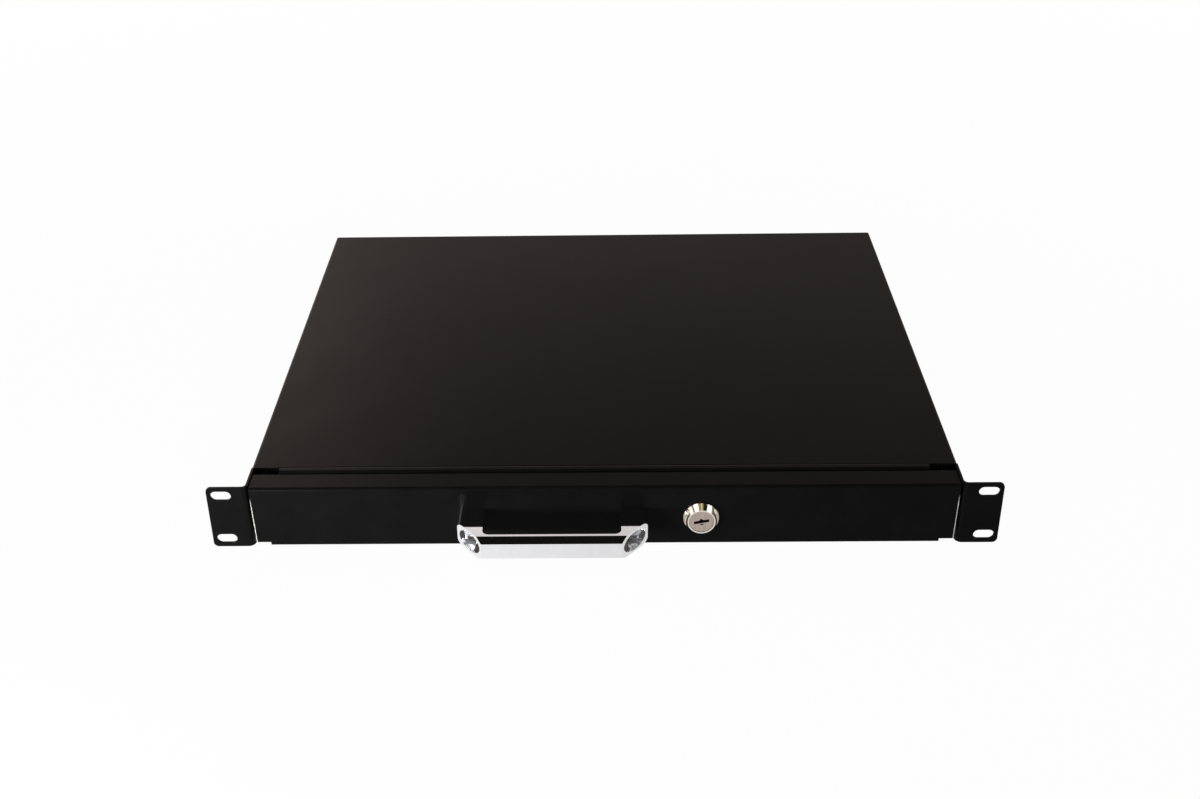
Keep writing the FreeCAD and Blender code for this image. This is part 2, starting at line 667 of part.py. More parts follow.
def make_slide(side, sign):
    """Every piece of one slide, with the fasteners that hold it to the case and the tray."""
    out, inwards = side_turn(sign), f"({sign})"
    parts = [make_outer_member(side, sign), make_middle_member(side, sign),
             make_inner_member(side, sign), make_bumper(side, sign),
             make_cage(f"{side}_outer_cage", sign, "cage_out", "ball_high"),
             make_cage(f"{side}_inner_cage", sign, "cage_in", "ball_low"),
             make_balls(f"{side}_outer_balls", sign, "ball_high"),
             make_balls(f"{side}_inner_balls", sign, "ball_low")]
    case_screws, case_nuts, tray_screws = [], [], []
    for i, depth in enumerate(screw_depths()):
        case_screws.append(screw(f"{side}_case_screw_{i}", out, "screw_head", "screw_radius",
                                 "web_outer", "screw_radius", "steel + nut_height + web_outer",
                                 f"{inwards} * wall_in", depth, "0"))
        case_nuts.append(nut(f"{side}_case_nut_{i}", out, "nut_flats", "nut_height",
                             "screw_radius", f"{inwards} * wall_out", depth, "0"))
        tray_screws.append(screw(f"{side}_tray_screw_{i}", out, "screw_head", "screw_head",
                                 "1.5 * steel", "screw_radius", "tray_steel + 2 * web_outer",
                                 f"{inwards} * (tray_half - tray_steel)", depth, "0"))
    parts += [group(f"{side}_case_screws", case_screws), group(f"{side}_case_nuts", case_nuts),
              group(f"{side}_tray_screws", tray_screws)]
    return parts


# ---- drawer ---------------------------------------------------------------------------------

def make_tray():
    """Open tray with a floor, two sides, a back and two tabs behind the drawer front."""
    body = new_body("drawer_tray")
    section = folded([("0 - tray_half", "tray_top"), ("0 - tray_half", "tray_floor"),
                      ("tray_half", "tray_floor"), ("tray_half", "tray_top")],
                     "tray_steel", "tray_bend", 1)
    pad_xz(body, section, "tray_front", "tray_rear - tray_front")
    back = box_outline("tray_steel / 2 - tray_half", "tray_floor + tray_steel / 2",
                       "tray_half - tray_steel / 2", "tray_top - tray_back_drop")
    pad_xz(body, back, "tray_rear - tray_steel", "tray_steel")
    for sign in (1, -1):
        tab = box_outline(f"({sign}) * (tray_half - tray_steel / 2)", "tab_bottom",
                          f"({sign}) * (tray_half - tray_tab)", "tray_top")
        pad_xz(body, tab, "tray_front", "tray_steel")
    holes = new_sketch(body, "YZ_Plane")
    for depth in screw_depths():
        circle(holes, depth, "0", "screw_radius + hole_play")
    pocket(body, holes, "case_width", middle=True)
    return body


def double_flat(x, z, radius, flats):
    """Outline of a round hole with two upright flats."""
    half, high = f"({flats}) / 2", f"sqrt(({radius}) ^ 2 - (({flats}) / 2) ^ 2)"
    return [(f"{x} + {half}", f"{z} - {high}", radius, 1), (f"{x} + {half}", f"{z} + {high}"),
            (f"{x} - {half}", f"{z} + {high}", radius, 1), (f"{x} - {half}", f"{z} - {high}")]


def make_drawer_front():
    """Folded front with a lip along its top and one under its bottom."""
    body = new_body("drawer_front")
    section = folded([("front_lip_end", "front_top"), ("front", "front_top"),
                      ("front", "front_bottom"), ("front_lip_end", "front_bottom")],
                     "steel", "fold", 1)
    pad(body, outline(new_sketch(body, "YZ_Plane"), section), "2 * front_half", middle=True)
    corners = xz_sketch(body, "front - steel")
    for sign in (1, -1):
        cut = [("front_half", "front_top"), ("front_half - front_taper", "relief_top"),
               ("front_half - front_relief", "relief_top"),
               ("front_half - front_relief", "bottom - steel"), ("wall_out", "bottom - steel"),
               ("wall_out", "front_top")]
        outline(corners, [(f"({sign}) * ({x})", z) for x, z in cut])
    pocket(body, corners, "front_lip + 2 * steel")
    holes = xz_sketch(body, "front - steel")
    outline(holes, double_flat("lock_x", "lock_z", "lock_barrel / 2 + hole_play",
                               "lock_flats + 2 * hole_play"))
    for sign in (1, -1):
        circle(holes, f"handle_x + ({sign}) * leg_x", "handle_z", "screw_radius + hole_play")
    pocket(body, holes, "3 * steel")
    return body


def make_handle():
    """Cast bow handle with bevelled corners, whose screws sink into the bevels."""
    body = new_body("handle")
    half = [("leg_in", "front"), ("handle_length / 2", "front"),
            ("handle_length / 2", "handle_front + handle_bevel_y"),
            ("handle_length / 2 - handle_bevel_x", "handle_front")]
    rest = [(flip(x), y) for x, y in reversed(half)]
    inside = [("handle_inside - leg_in", "handle_back", "handle_inside", 1),
              ("leg_in - handle_inside", "handle_back"),
              ("leg_in", "handle_back + handle_inside", "handle_inside", 1)]
    corner = [("0 - leg_in", "handle_back + handle_inside")]
    plan = outline(new_sketch(body, "XY_Plane", "0 - handle_height / 2"),
                   half + rest + corner + inside)
    pad(body, plan, "handle_height")
    edge_x, edge_y = num("handle_length / 2"), num("handle_front")
    for side, size in ((1, "handle_facet"), (-1, "handle_under")):
        dress(body, "Chamfer", size, lambda edge: along(edge, X)
              and abs(edge.CenterOfMass.y - edge_y) < 0.01 and edge.CenterOfMass.z * side > 0)
    dress(body, "Fillet", "handle_round",
          lambda edge: along(edge, Y) and abs(abs(edge.CenterOfMass.x) - edge_x) < 0.01)
    for radius, depth in (("handle_bore", "handle_reach - handle_seat"),
                          ("screw_radius + hole_play", "handle_reach + steel")):
        sketch = xz_sketch(body, "handle_front")
        for sign in (1, -1):
            circle(sketch, f"({sign}) * leg_x", "0", radius)
        pocket(body, sketch, depth)
    return place(body, x="handle_x", z="handle_z")


def make_handle_fasteners():
    screws, nuts = [], []
    for side, sign in SIDES:
        x = f"handle_x + ({sign}) * leg_x"
        screws.append(screw(f"{side}_handle_screw", TO_REAR, "handle_screw_head",
                            "handle_screw_head", "2 * steel", "screw_radius",
                            "handle_seat + 2 * steel + nut_height", x, "seat_y", "handle_z"))
        nuts.append(nut(f"{side}_handle_nut", TO_REAR, "nut_flats", "nut_height",
                        "screw_radius", x, "front + steel", "handle_z"))
    return [group("handle_screws", screws), group("handle_nuts", nuts)]


# ---- lock -----------------------------------------------------------------------------------

def make_lock_housing():
    """Flared bezel and the barrel that passes through the drawer front."""
    body = new_body("lock_housing")
    turned(body, [("plug_head / 2 + plug_play", "face_y"), ("lock_face / 2", "face_y"),
                  ("lock_flare / 2", "front - fold_out / 2"), ("lock_flare / 2", "front"),
                  ("lock_barrel / 2", "front"), ("lock_barrel / 2", "barrel_end"),
                  ("plug_stem / 2 + plug_play", "barrel_end"),
                  ("plug_stem / 2 + plug_play", "plug_step + plug_play"),
                  ("plug_head / 2 + plug_play", "plug_step + plug_play")])
    flats = xz_sketch(body, "front")
    for sign in (1, -1):
        outline(flats, box_outline(f"({sign}) * lock_flats / 2", "0 - lock_barrel",
                                   f"({sign}) * lock_barrel", "lock_barrel"))
    pocket(body, flats, "barrel_end - front + steel")
    return place(body, x="lock_x", z="lock_z")


def tilted(u, v):
    """A point of the key slot, turned with the slot's tilt."""
    tilt = "key_slot_tilt"
    return (f"({u}) * cos({tilt}) - ({v}) * sin({tilt})", f"({u}) * sin({tilt}) + ({v}) * cos({tilt})")


def make_lock_plug():
    """Keyed plug with a square end for the cam."""
    body = new_body("lock_plug")
    turned(body, [("0", "plug_face"), ("plug_head / 2", "plug_face"), ("plug_head / 2", "plug_step"),
                  ("plug_stem / 2", "plug_step"), ("plug_stem / 2", "cam_start"),
                  ("0", "cam_start")])
    half = "cam_square / 2"
    pad_xz(body, box_outline(f"0 - {half}", f"0 - {half}", half, half), "cam_start - steel",
           "cam_steel + steel")
    end, wide, rib = "key_slot_length / 2", "key_slot_width / 2", "key_slot_rib"
    slot = [(flip(end), flip(wide)), (end, flip(wide)), (end, wide), (rib, wide),
            ("0", f"{wide} + {rib}"), (flip(rib), wide), (flip(end), wide)]
    pocket(body, outline(xz_sketch(body, "plug_face"), [tilted(u, v) for u, v in slot]),
           "key_slot_depth")
    thread = circle(xz_sketch(body, "cam_end - cam_screw_length"), "0", "0", "cam_screw_radius")
    pocket(body, thread, "cam_screw_length + steel")
    return place(body, x="lock_x", z="lock_z")


def make_lock_cam():
    """Flat lever on the square end of the plug; level when the lock is open."""
    body = new_body("lock_cam")
    reach = "(cam_length + cam_width / 2)"
    flat = stadium(xz_sketch(body, "cam_start"), f"{reach} / 2 - cam_width / 2", "0", reach,
                   "cam_width")
    pad(body, flat, "cam_steel", True)
    half = "cam_square / 2"
    square = outline(xz_sketch(body, "cam_start"), box_outline(flip(half), flip(half), half, half))
    pocket(body, square, "2 * cam_steel")
    return place(body, x="lock_x", z="lock_z")


def make_lock_fasteners():
    """Nut behind the drawer front, and the washer and screw that hold the cam."""
    lock_nut = nut("lock_nut", TO_REAR, "lock_nut_flats", "lock_nut_height", "lock_barrel / 2",
                   "lock_x", "front + steel", "lock_z")
    washer = nut("cam_washer", TO_REAR, "2 * washer_radius", "washer_steel", "cam_screw_radius",
                 "lock_x", "cam_end", "lock_z")
    cam_screw = screw("cam_screw", TO_REAR.multiply(FreeCAD.Rotation(X, 180)), "cam_screw_head",
                      "cam_screw_head", "cam_screw_head / 2", "cam_screw_radius",
                      "cam_screw_length", "lock_x", "cam_end + washer_steel", "lock_z")
    return [lock_nut, washer, cam_screw]


parts = [make_case_shell(), make_rear_panel(), make_rear_screws(), make_lock_keeper(),
         make_tray(), make_drawer_front(), make_handle(), *make_handle_fasteners(),
         make_lock_housing(), make_lock_plug(), make_lock_cam(), *make_lock_fasteners()]
for side, sign in SIDES:
    parts += make_slide(side, sign)
doc.recompute()

for thing in doc.Objects:
    if {"Invalid", "Error"} & set(thing.State):
        raise RuntimeError(f"{thing.Label} failed: {thing.State}")
os.makedirs("parts", exist_ok=True)
for part in parts:
    if part.Shape.isNull() or not part.Shape.isValid() or not part.Shape.Solids:
        raise RuntimeError(f"{part.Label} has no valid solid")
    part.Shape.exportStep(f"parts/{part.Label}.step")
    size = part.Shape.BoundBox
    print(f"{part.Label}: {len(part.Shape.Solids)} solids, {part.Shape.Volume:.1f} mm3,"
          f" {size.XLength:.2f} x {size.YLength:.2f} x {size.ZLength:.2f}")
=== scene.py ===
"""Looks of the sliding rack drawer: finishes, fasteners, fine detail, floor, lights and camera."""
import json
import math

import bmesh
import bpy
from mathutils import Matrix, Vector


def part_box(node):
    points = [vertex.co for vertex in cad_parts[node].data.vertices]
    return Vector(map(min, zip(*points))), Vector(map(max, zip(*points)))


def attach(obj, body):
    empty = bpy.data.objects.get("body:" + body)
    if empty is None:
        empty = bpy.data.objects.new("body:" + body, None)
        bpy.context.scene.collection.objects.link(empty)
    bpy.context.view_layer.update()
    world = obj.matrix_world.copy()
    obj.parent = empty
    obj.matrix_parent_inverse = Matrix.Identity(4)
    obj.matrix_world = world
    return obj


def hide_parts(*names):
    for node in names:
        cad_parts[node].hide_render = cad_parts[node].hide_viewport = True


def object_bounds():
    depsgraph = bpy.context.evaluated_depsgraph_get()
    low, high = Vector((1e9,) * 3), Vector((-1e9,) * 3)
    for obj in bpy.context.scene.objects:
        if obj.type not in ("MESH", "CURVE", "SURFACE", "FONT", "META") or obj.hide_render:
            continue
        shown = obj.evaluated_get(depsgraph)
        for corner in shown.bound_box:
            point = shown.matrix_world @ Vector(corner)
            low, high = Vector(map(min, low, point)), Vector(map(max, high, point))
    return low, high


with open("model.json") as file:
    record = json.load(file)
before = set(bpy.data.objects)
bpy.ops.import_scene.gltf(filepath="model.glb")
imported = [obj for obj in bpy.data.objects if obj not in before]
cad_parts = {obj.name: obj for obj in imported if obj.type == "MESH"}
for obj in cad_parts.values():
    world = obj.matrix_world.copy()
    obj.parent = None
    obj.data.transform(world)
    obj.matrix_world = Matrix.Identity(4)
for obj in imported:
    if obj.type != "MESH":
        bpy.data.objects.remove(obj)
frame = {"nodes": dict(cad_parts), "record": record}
cad_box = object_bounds()
nodes = frame["nodes"]
bodies = frame["record"]["behaviour"]["bodies"]
body_of_node = {node: body for body, names in bodies.items() for node in names}
slot_of_node = {part["node"]: part["material_slot"] for part in frame["record"]["subparts"]}
scene = bpy.context.scene
MM = 0.001


# ---- node helpers ---------------------------------------------------------------------------

class Nodes:
    """A node tree, with short calls to add nodes and join them."""

    def __init__(self, owner):
        owner.use_nodes = True
        self.owner = owner
        self.tree = owner.node_tree
        self.tree.nodes.clear()

    def add(self, kind, inputs=None, **settings):
        node = self.tree.nodes.new(kind)
        for key, value in settings.items():
            setattr(node, key, value)
        for key, value in (inputs or {}).items():
            if isinstance(value, bpy.types.NodeSocket):
                self.tree.links.new(value, node.inputs[key])
            else:
                node.inputs[key].default_value = value
        return node

    def math(self, operation, a, b=0.0):
        return self.add("ShaderNodeMath", {0: a, 1: b}, operation=operation).outputs[0]

    def total(self, first, *others):
        for other in others:
            first = self.math("ADD", first, other)
        return first

    def product(self, first, *others):
        for other in others:
            first = self.math("MULTIPLY", first, other)
        return first

    def distance(self, a, b):
        """Length of the vector with the components a and b."""
        return self.math("SQRT", self.total(self.product(a, a), self.product(b, b)))

    def place(self):
        """The object's own coordinates, in metres."""
        return self.add("ShaderNodeTexCoord").outputs["Object"]

    def axes(self, vector=None):
        split = self.add("ShaderNodeSeparateXYZ", {0: vector or self.place()})
        return split.outputs["X"], split.outputs["Y"], split.outputs["Z"]

    def noise(self, scale, detail=3.0, roughness=0.5, stretch=None):
        vector = self.place()
        if stretch:
            mapping = self.add("ShaderNodeMapping", {"Vector": vector, "Scale": stretch})
            vector = mapping.outputs[0]
        return self.add("ShaderNodeTexNoise", {"Vector": vector, "Scale": scale, "Detail": detail,
                                               "Roughness": roughness}).outputs["Fac"]

    def span(self, value, start, end, low=0.0, high=1.0):
        """Numbers from low to high as value goes from start to end."""
        return self.add("ShaderNodeMapRange", {"Value": value, "From Min": start, "From Max": end,
                                               "To Min": low, "To Max": high}).outputs["Result"]

    def blend(self, share, first, second):
        """Colour from first to second; each is a colour or a socket."""
        mix = self.add("ShaderNodeMix", {"Factor": share}, data_type="RGBA")
        for index, color in ((6, first), (7, second)):
            if isinstance(color, bpy.types.NodeSocket):
                self.tree.links.new(color, mix.inputs[index])
            else:
                mix.inputs[index].default_value = (*color, 1)
        return mix.outputs[2]

    def band(self, value, middle, half, soft):
        """1 where value is within half of middle, fading over soft."""
        away = self.math("ABSOLUTE", self.math("SUBTRACT", value, middle))
        return self.span(away, half + soft, half)

    def bump(self, height, distance, strength=1.0, normal=None):
        inputs = {"Height": height, "Distance": distance, "Strength": strength}
        if normal is not None:
            inputs["Normal"] = normal
        return self.add("ShaderNodeBump", inputs).outputs["Normal"]

    def finish(self, **sockets):
        shader = self.add("ShaderNodeBsdfPrincipled",
                          {key.replace("_", " "): value for key, value in sockets.items()})
        output = self.add("ShaderNodeOutputMaterial")
        self.tree.links.new(shader.outputs[0], output.inputs["Surface"])
        return self.owner


def new_material(name):
    return Nodes(bpy.data.materials.new(name))


# ---- places that the finishes follow --------------------------------------------------------

plug_low, plug_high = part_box("lock_plug")
PLUG_AXIS = ((plug_low[0] + plug_high[0]) / 2, (plug_low[2] + plug_high[2]) / 2)
PLUG_FACE = plug_low[1]
PLUG_RADIUS = (plug_high[0] - plug_low[0]) / 2
KEY_SLOT_REACH = 5.3 * MM
DIMPLE_ACROSS, DIMPLE_UP = 0.3 * MM, -2.0 * MM
BEZEL_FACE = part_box("lock_housing")[0][1]
FLANK_START, FLANK_END = 7.8 * MM, 10.5 * MM

front_low, front_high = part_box("drawer_front")
FRONT_FACE = front_low[1]
FRONT_END = front_high[0]
FRONT_TOP = front_high[2]
FRONT_RELIEF = front_low[2] + 2.9 * MM
FRONT_TAPER = 0.9 * MM

COVER_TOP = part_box("case_shell")[1][2]
LIP_HALF = 199.9 * MM
LIP_ROOT = 20.1 * MM


# ---- materials ------------------------------------------------------------------------------

# The part of a noise's range that carries its contrast.
CONTRAST = (0.3, 0.7)

# Noise scales of the coat, in cycles a metre, and depths of its bumps.
CLOUDS, SHEET_WAVE, MOTTLING, GLINT_BREAKS, ORANGE_PEEL, COAT_GRAIN = 7, 9, 55, 700, 1900, 5200
WAVE_DEPTH, PEEL_DEPTH, GRAIN_DEPTH = 1.2 * MM, 0.02 * MM, 0.006 * MM

# The fold line at the root of the cover's lip, bumped in and coloured near black as painted shade.
FOLD_HALF, FOLD_SOFT, FOLD_END_SOFT, FOLD_DEPTH = 0.25 * MM, 0.45 * MM, 0.8 * MM, 0.6 * MM
FOLD_SHADE_COLOR = (0.001, 0.001, 0.001)

# A painted highlight along each end of the drawer front, a light line that stands in for a
# reflection: it starts below the top and gets stronger.
GLINT_WIDTH, GLINT_SOFT, GLINT_START, GLINT_FULL = 0.26 * MM, 0.3 * MM, 7 * MM, 13 * MM
GLINT_COLOR = (0.62, 0.60, 0.57)


def fold_line(n):
    """1 on the line where the cover folds down to its lip, on the outside only."""
    x, y, z = n.axes()
    line = n.product(n.band(y, LIP_ROOT, FOLD_HALF, FOLD_SOFT),
                     n.band(x, 0.0, LIP_HALF, FOLD_END_SOFT))
    return n.product(line, n.math("GREATER_THAN", z, COVER_TOP - 0.5 * MM))


def glint_line(n):
    """Up to 1 along the slanted ends of the drawer front, where a highlight is painted."""
    x, y, z = n.axes()
    end = n.span(z, FRONT_RELIEF, FRONT_TOP, FRONT_END - FRONT_TAPER, FRONT_END)
    line = n.band(n.math("ABSOLUTE", x), n.math("SUBTRACT", end, GLINT_WIDTH / 2),
                  GLINT_WIDTH / 2, GLINT_SOFT)
    below_top = n.span(z, FRONT_TOP - GLINT_FULL, FRONT_TOP - GLINT_START, 1.0, 0.0)
    glint_breaks = n.span(n.noise(GLINT_BREAKS, 2.0), 0.30, 0.45, 0.55, 1.0)
    return n.product(line, below_top, glint_breaks, n.math("LESS_THAN", y, FRONT_FACE + 1 * MM))


def powder_coat(name, shade_and_dimple, light, rough, specular, fold_and_shade=False, glint_edges=False):
    """Satin black powder coat: fine orange peel, a slow wave of the sheet and faint mottling."""
    n = new_material(name)
    mottle = n.noise(MOTTLING, 4.0, 0.6)
    color = n.blend(n.span(mottle, *CONTRAST), shade_and_dimple, light)
    roughness = n.total(n.span(mottle, *CONTRAST, rough - 0.02, rough + 0.02),
                        n.span(n.noise(CLOUDS, 2.0), 0.35, 0.65, -0.03, 0.03))
    normal = n.bump(n.noise(SHEET_WAVE, 1.5), WAVE_DEPTH, 0.35)
    normal = n.bump(n.noise(ORANGE_PEEL, 2.0), PEEL_DEPTH, 0.6, normal)
    normal = n.bump(n.noise(COAT_GRAIN, 1.0), GRAIN_DEPTH, 0.5, normal)
    if fold_and_shade:
        line = fold_line(n)
        normal = n.bump(line, -FOLD_DEPTH, 1.0, normal)
        # Painted shade: the fold line is coloured near black.
        color = n.blend(line, color, FOLD_SHADE_COLOR)
    if glint_edges:
        # Painted highlight: a light line along the slanted ends of the drawer front.
        color = n.blend(glint_line(n), color, GLINT_COLOR)
    return n.finish(Base_Color=color, Roughness=roughness, Normal=normal,
                    Specular_IOR_Level=specular)


def plated(name, color, shade, rough, spread, scale=260, ripple=0.0):
    """Plated metal with small changes of tone and polish; ripple is the depth of long waves."""
    n = new_material(name)
    blotch = n.noise(scale, 4.0, 0.6)
    tone = n.blend(n.span(blotch, *CONTRAST), shade, color)
    roughness = n.span(blotch, *CONTRAST, rough - spread, rough + spread)
    normal = n.bump(blotch, 0.004 * MM, 0.5)
    if ripple:
        normal = n.bump(n.noise(60, 1.0), ripple, 0.5, normal)
    return n.finish(Base_Color=tone, Metallic=1.0, Roughness=roughness, Normal=normal)


def bell_nickel(name):
    """Warm plated bezel whose flanks open out like a bell towards the drawer front, and are tinted
    darker brown as painted reflection.
    """
    n = new_material(name)
    x, y, z = n.axes()
    depth = n.span(y, BEZEL_FACE, FRONT_FACE)
    aside = n.math("ABSOLUTE", n.math("SUBTRACT", x, PLUG_AXIS[0]))
    flank = n.span(aside, FLANK_START, FLANK_END)
    flare = n.product(depth, depth, 0.5, flank)
    blotch = n.noise(260, 4.0, 0.6)
    normal = n.bump(flare, FRONT_FACE - BEZEL_FACE)
    normal = n.bump(blotch, 0.008 * MM, 0.5, normal)
    tone = n.blend(n.span(blotch, *CONTRAST), (0.90, 0.83, 0.74), (0.97, 0.92, 0.85))
    # Painted reflection: the flanks are tinted darker brown.
    tone = n.blend(flank, tone, (0.55, 0.46, 0.33))
    return n.finish(Base_Color=tone, Metallic=1.0,
                    Roughness=n.span(blotch, *CONTRAST, 0.09, 0.15), Normal=normal)


def satin_plug(name):
    """Brushed nickel; the key slot and the gap at its rim are painted shade, and a small dimple is
    painted dark.
    """
    n = new_material(name)
    x, y, z = n.axes()
    across = n.math("SUBTRACT", x, PLUG_AXIS[0])
    up = n.math("SUBTRACT", z, PLUG_AXIS[1])
    away = n.distance(across, up)
    brush = n.noise(2600, 3.0, 0.6, (1.0, 1.0, 0.06))
    blotch = n.noise(420, 3.0, 0.6)
    tone = n.blend(n.span(brush, *CONTRAST), (0.47, 0.39, 0.34), (0.60, 0.50, 0.43))
    tone = n.blend(n.span(blotch, 0.35, 0.75, 0.0, 0.35), tone, (0.46, 0.36, 0.36))
    slot = n.product(n.math("GREATER_THAN", y, PLUG_FACE + 0.12 * MM),
                     n.math("LESS_THAN", away, KEY_SLOT_REACH))
    dimple = n.product(n.band(across, DIMPLE_ACROSS, 0.7 * MM, 0.3 * MM),
                       n.band(up, DIMPLE_UP, 0.3 * MM, 0.2 * MM))
    rim = n.span(away, PLUG_RADIUS - 0.26 * MM, PLUG_RADIUS - 0.12 * MM)
    # Painted shade in the key slot and the gap at the rim, and a painted dark dimple.
    shade_and_dimple = n.math("MAXIMUM", n.math("MAXIMUM", slot, dimple), n.product(rim, 0.8))
    tone = n.blend(shade_and_dimple, tone, (0.006, 0.005, 0.005))
    normal = n.bump(brush, 0.012 * MM, 0.6)
    normal = n.bump(dimple, -0.3 * MM, 1.0, normal)
    return n.finish(Base_Color=tone, Metallic=n.span(slot, 0.0, 1.0, 1.0, 0.0),
                    Roughness=n.span(brush, *CONTRAST, 0.30, 0.42), Normal=normal)


def moulded(name, color, rough):
    """Black moulded plastic with a fine spark texture."""
    n = new_material(name)
    spark = n.noise(2600, 2.0)
    tone = n.blend(n.span(spark, 0.35, 0.65), color, tuple(c * 1.5 for c in color))
    return n.finish(Base_Color=tone, Roughness=n.span(spark, 0.0, 1.0, rough - 0.05, rough + 0.05),
                    Normal=n.bump(spark, 0.03 * MM, 0.5))


# Dark tone, light tone, roughness and specular level of the two coats.
BLACK = ((0.0034, 0.0033, 0.0033), (0.0047, 0.0046, 0.0046), 0.31, 0.036)
SLIDE_BLACK = ((0.006, 0.006, 0.0065), (0.009, 0.009, 0.0095), 0.36, 0.25)

materials = {
    "front_steel": powder_coat("black_front_coat", *BLACK, glint_edges=True),
    "black_steel": powder_coat("black_powder_coat", *BLACK),
    "case_steel": powder_coat("black_case_coat", *BLACK, fold_and_shade=True),
    "slide_black": powder_coat("black_slide_coat", *SLIDE_BLACK),
    "chrome": plated("bright_chrome", (0.90, 0.90, 0.91), (0.86, 0.86, 0.88), 0.035, 0.015,
                     ripple=0.02 * MM),
    "lock_satin": satin_plug("satin_plug"),
    "lock_bell": bell_nickel("bell_nickel"),
    "screw_nickel": plated("screw_nickel", (0.90, 0.92, 0.95), (0.84, 0.87, 0.91), 0.30, 0.05),
    "zinc": plated("blue_zinc", (0.60, 0.67, 0.76), (0.46, 0.52, 0.62), 0.28, 0.07, scale=900),
    "ball_steel": plated("bearing_steel", (0.75, 0.75, 0.76), (0.68, 0.68, 0.69), 0.08, 0.02),
    "black_plastic": moulded("black_plastic", (0.012, 0.012, 0.012), 0.55),
}
special = {"case_shell": "case_steel", "drawer_front": "front_steel", "lock_plug": "lock_satin",
           "lock_housing": "lock_bell"}
for node, slot in slot_of_node.items():
    mesh = nodes[node].data
    mesh.materials.clear()
    mesh.materials.append(materials[special.get(node, slot)])


# ---- edges of the CAD pieces ----------------------------------------------------------------

def ease_edges(node, width):
    """Round the sharp edges of a CAD piece as paint, plating and tumbling do."""
    bevel = nodes[node].modifiers.new("eased_edges", "BEVEL")
    bevel.width = width
    bevel.segments = 2
    bevel.limit_method = "ANGLE"
    bevel.angle_limit = math.radians(35)
    bevel.harden_normals = True


EASED = {0.06: ("lock_plug",),
         0.20: ("lock_cam", "handle_nuts", "left_case_nuts", "right_case_nuts"),
         0.22: ("case_shell", "rear_panel", "drawer_front", "drawer_tray", "lock_keeper",
                "lock_housing"),
         0.25: ("lock_nut",),
         0.30: ("handle",)}
for width, names in EASED.items():
    for name in names:
        ease_edges(name, width * MM)


# ---- fasteners ------------------------------------------------------------------------------

def islands(node):
    """Corners of each separate solid of a CAD node."""
    mesh = bmesh.new()
    mesh.from_mesh(nodes[node].data)
    bmesh.ops.remove_doubles(mesh, verts=mesh.verts, dist=1e-7)
    solids, seen = [], set()
    for start in mesh.verts:
        if start in seen:
            continue
        seen.add(start)
        queue, points = [start], []
        while queue:
            vert = queue.pop()
            points.append(vert.co.copy())
            for edge in vert.link_edges:
                other = edge.other_vert(vert)
                if other not in seen:
                    seen.add(other)
                    queue.append(other)
        solids.append(points)
    mesh.free()
    return solids


def smooth(value, start, end):
    t = min(max((value - start) / (end - start), 0.0), 1.0)
    return t * t * (3 - 2 * t)


def circle(radius, count, height):
    angles = [2 * math.pi * i / count for i in range(count)]
    return [(radius * math.cos(a), radius * math.sin(a), height) for a in angles]


def lathe_rows(mesh, rows, turn):
    """Skin rows of equally many points, closed round each row and capped at both ends."""
    rings = [[mesh.verts.new(turn @ Vector(point)) for point in row] for row in rows]
    for low, high in zip(rings, rings[1:]):
        for i in range(len(low)):
            j = (i + 1) % len(low)
            mesh.faces.new((low[i], low[j], high[j], high[i])).smooth = True
    mesh.faces.new(list(reversed(rings[0])))
    mesh.faces.new(rings[-1])


# Heads: sides and rings of the mesh; the other numbers are shares of the radius or the height.
HEAD_SIDES, HEAD_RINGS = 56, 23
SEAT_INSET, SEAT_RISE, RIM_INSET = 0.96, 0.05, 0.985
DOME_DROP, DOME_EDGE = 0.42, 0.58
DOMED_RIM, FLAT_RIM = ((0.55, 1.0), (0.92, 1.0), (1.0, RIM_INSET)), ((0.94, 1.0),)
CROSS_HALF, CROSS_REACH = (0.17, 0.12), (0.60, 0.52)
CROSS_DEPTH, CROSS_RISE = 0.62, 0.5

# Threads: sides of the mesh and rings a turn; depth and tip are shares of the shank radius.
THREAD_SIDES, THREAD_RINGS, THREAD_PITCH = 20, 6, 0.7 * MM
THREAD_DEPTH, THREAD_START, THREAD_TIP = 0.09, (0.6 * MM, 1.4 * MM), 0.8
SUNK_IN_HEAD = 0.05 * MM


def head_height_at(x, y, radius, height, domed):
    """Top of a screw head with a cross recess, above its seat."""
    away = math.hypot(x, y) / radius
    top = height * (1 - DOME_DROP * away ** 3) if domed else height
    arm = min(abs(x), abs(y)) / radius
    reach = max(abs(x), abs(y)) / radius
    inside = smooth(arm, *CROSS_HALF) * smooth(reach, *CROSS_REACH)
    return top - inside * height * (CROSS_DEPTH - CROSS_RISE * reach)


def head_rows(seat_radius, radius, height, domed):
    """Rows of a head from its seat, over its rim, to the middle of its recess."""
    rows = [circle(seat_radius * SEAT_INSET, HEAD_SIDES, 0),
            circle(seat_radius, HEAD_SIDES, height * SEAT_RISE)]
    edge = height * (DOME_EDGE if domed else 1.0)
    for share, out in DOMED_RIM if domed else FLAT_RIM:
        ring = seat_radius + (radius - seat_radius) * share
        rows.append(circle(ring * out, HEAD_SIDES, edge * share))
    for step in range(HEAD_RINGS, 0, -1):
        ring = circle(radius * RIM_INSET * step / (HEAD_RINGS + 0.5), HEAD_SIDES, 0)
        rows.append([(x, y, head_height_at(x, y, radius, height, domed)) for x, y, _ in ring])
    return rows


